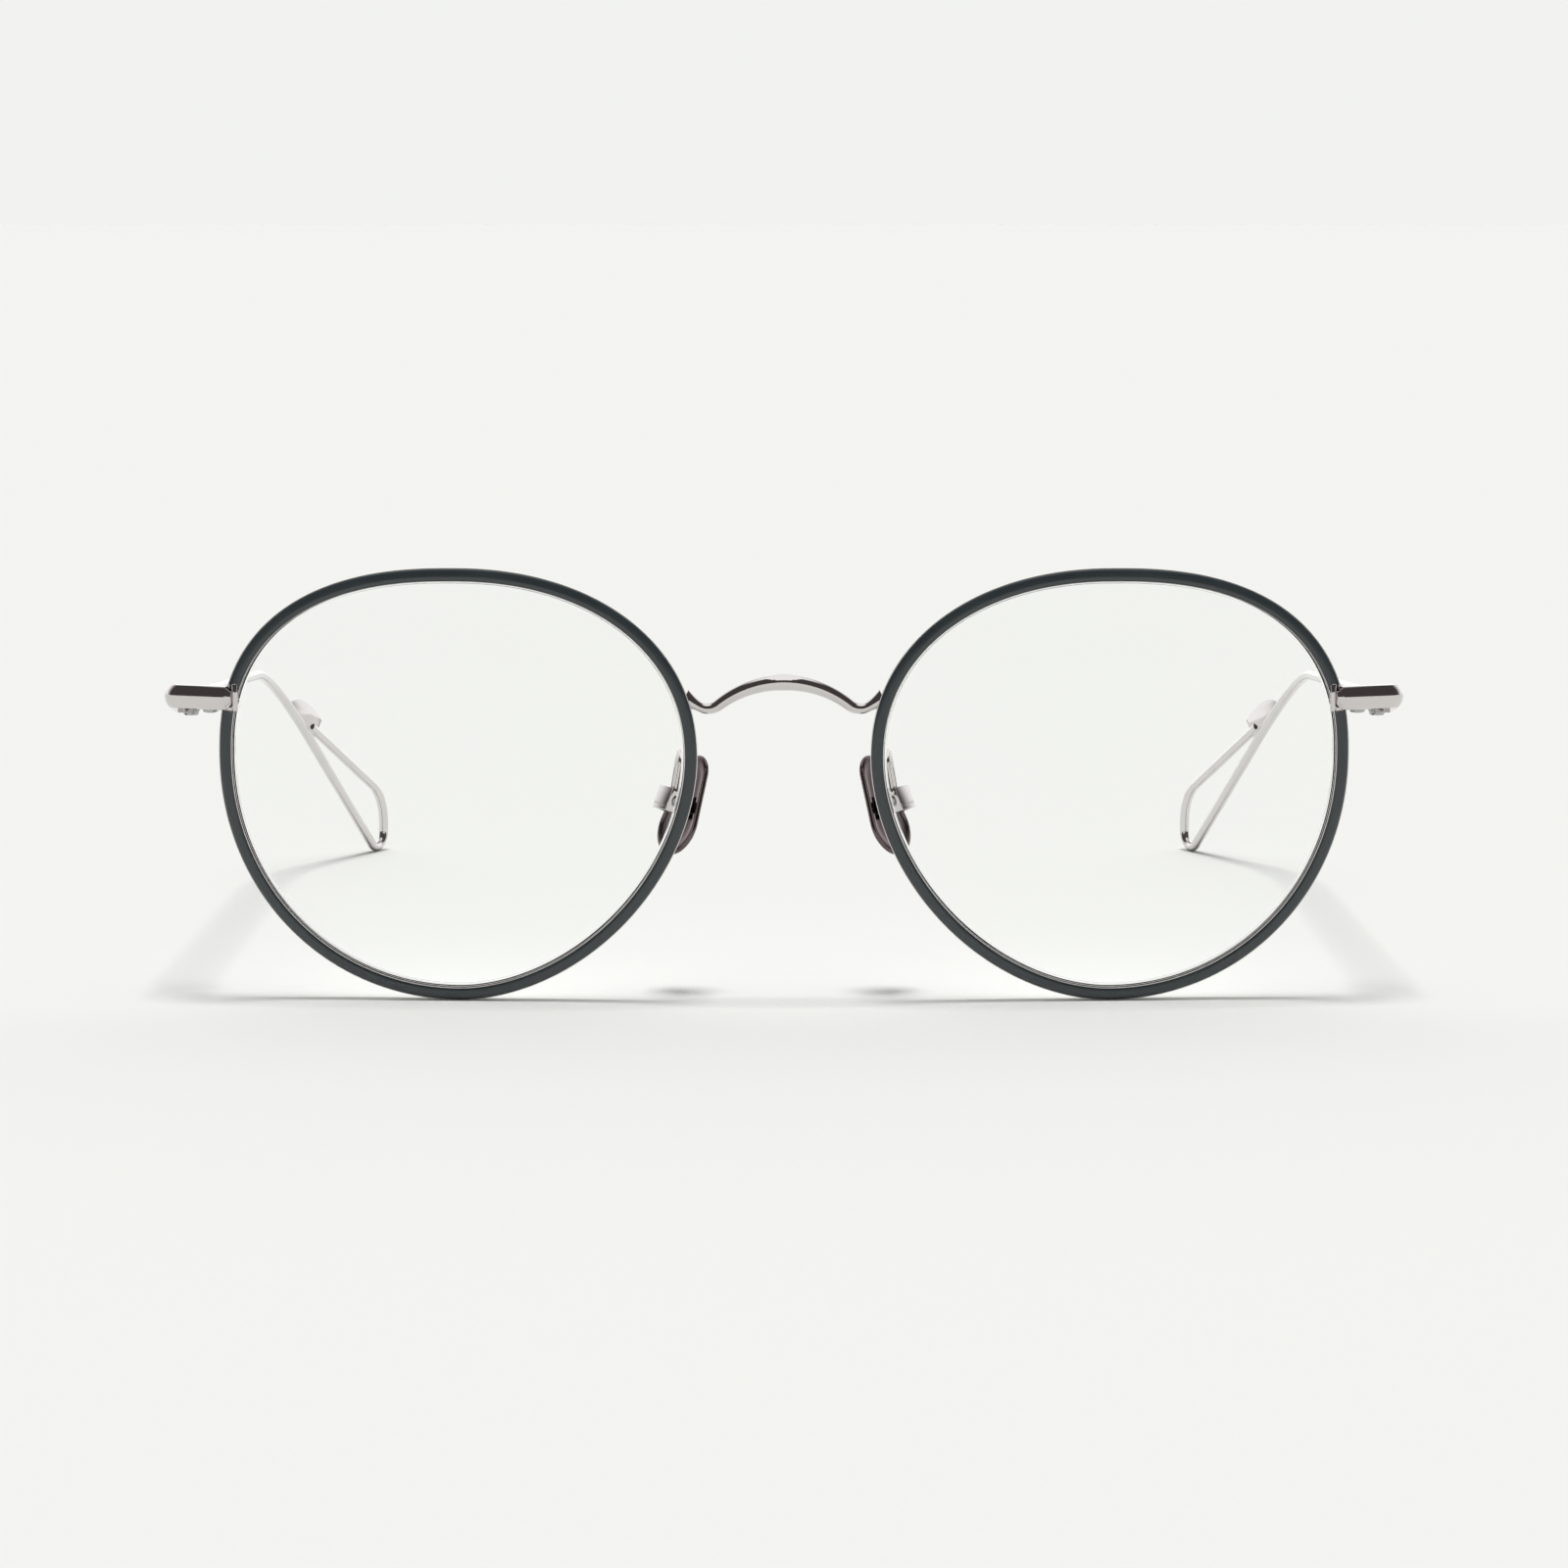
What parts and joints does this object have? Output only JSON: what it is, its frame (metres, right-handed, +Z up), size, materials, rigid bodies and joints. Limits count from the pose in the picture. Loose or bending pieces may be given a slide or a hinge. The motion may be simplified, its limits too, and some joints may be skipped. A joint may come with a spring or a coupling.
{
  "type": "round wire eyeglasses",
  "caption": "Round wire eyeglasses with clear lenses, dark inlaid rims, an arched bridge, folding wire temples with looped tips and rocking nose pads.",
  "frame": {"origin": "middle of the footprint on the surface the glasses stand on, temples open", "axes": "+X to the wearer's left, +Y from the front of the lenses back along the temples, +Z up"},
  "size_m": [0.1352, 0.1335, 0.0474],
  "materials": {
    "polished_metal": "polished silver plating",
    "satin_metal": "fine satin",
    "temple_metal": "polished silver plating",
    "slate_enamel": "glossy dark slate enamel",
    "clear_lens": "clear polished",
    "pad_metal": "polished dark warm grey metal",
    "screw_steel": "turned steel"
  },
  "bodies": {
    "front": {"bridge": "polished_metal", "right_eyewire": "polished_metal", "right_rim_inlay": "slate_enamel", "right_lens": "clear_lens", "right_endpiece": "polished_metal", "right_lock_upper": "polished_metal", "right_lock_lower": "polished_metal", "right_lock_screw": "screw_steel", "right_front_hinge": "satin_metal", "right_hinge_screw": "screw_steel", "right_pad_arm": "polished_metal", "right_pad_box": "satin_metal", "right_pad_screw": "screw_steel", "left_eyewire": "polished_metal", "left_rim_inlay": "slate_enamel", "left_lens": "clear_lens", "left_endpiece": "polished_metal", "left_lock_upper": "polished_metal", "left_lock_lower": "polished_metal", "left_lock_screw": "screw_steel", "left_front_hinge": "satin_metal", "left_hinge_screw": "screw_steel", "left_pad_arm": "polished_metal", "left_pad_box": "satin_metal", "left_pad_screw": "screw_steel"},
    "right_temple": {"right_temple_hinge": "satin_metal", "right_temple_butt": "polished_metal", "right_temple_wire": "temple_metal", "right_loop_plate": "polished_metal"},
    "left_temple": {"left_temple_hinge": "satin_metal", "left_temple_butt": "polished_metal", "left_temple_wire": "temple_metal", "left_loop_plate": "polished_metal"},
    "right_pad": {"right_nose_pad": "pad_metal"},
    "left_pad": {"left_nose_pad": "pad_metal"}
  },
  "joints": [
    {"name": "right_temple_fold", "type": "hinge", "parent": "front", "child": "right_temple", "pos_m": [-0.0651, -0.05606, 0.03219], "axis": [0, -0.0628, -0.998], "range_deg": [0, 77]},
    {"name": "left_temple_fold", "type": "hinge", "parent": "front", "child": "left_temple", "pos_m": [0.0651, -0.05606, 0.03219], "axis": [0, 0.0628, 0.998], "range_deg": [0, 84]},
    {"name": "right_pad_rock", "type": "hinge", "parent": "front", "child": "right_pad", "pos_m": [-0.0125, -0.05844, 0.02145], "axis": [-0.5878, 0.8079, 0.0423], "range_deg": [-8, 8]},
    {"name": "left_pad_rock", "type": "hinge", "parent": "front", "child": "left_pad", "pos_m": [0.0125, -0.05844, 0.02145], "axis": [0.5878, 0.8079, 0.0423], "range_deg": [-8, 8]}
  ]
}
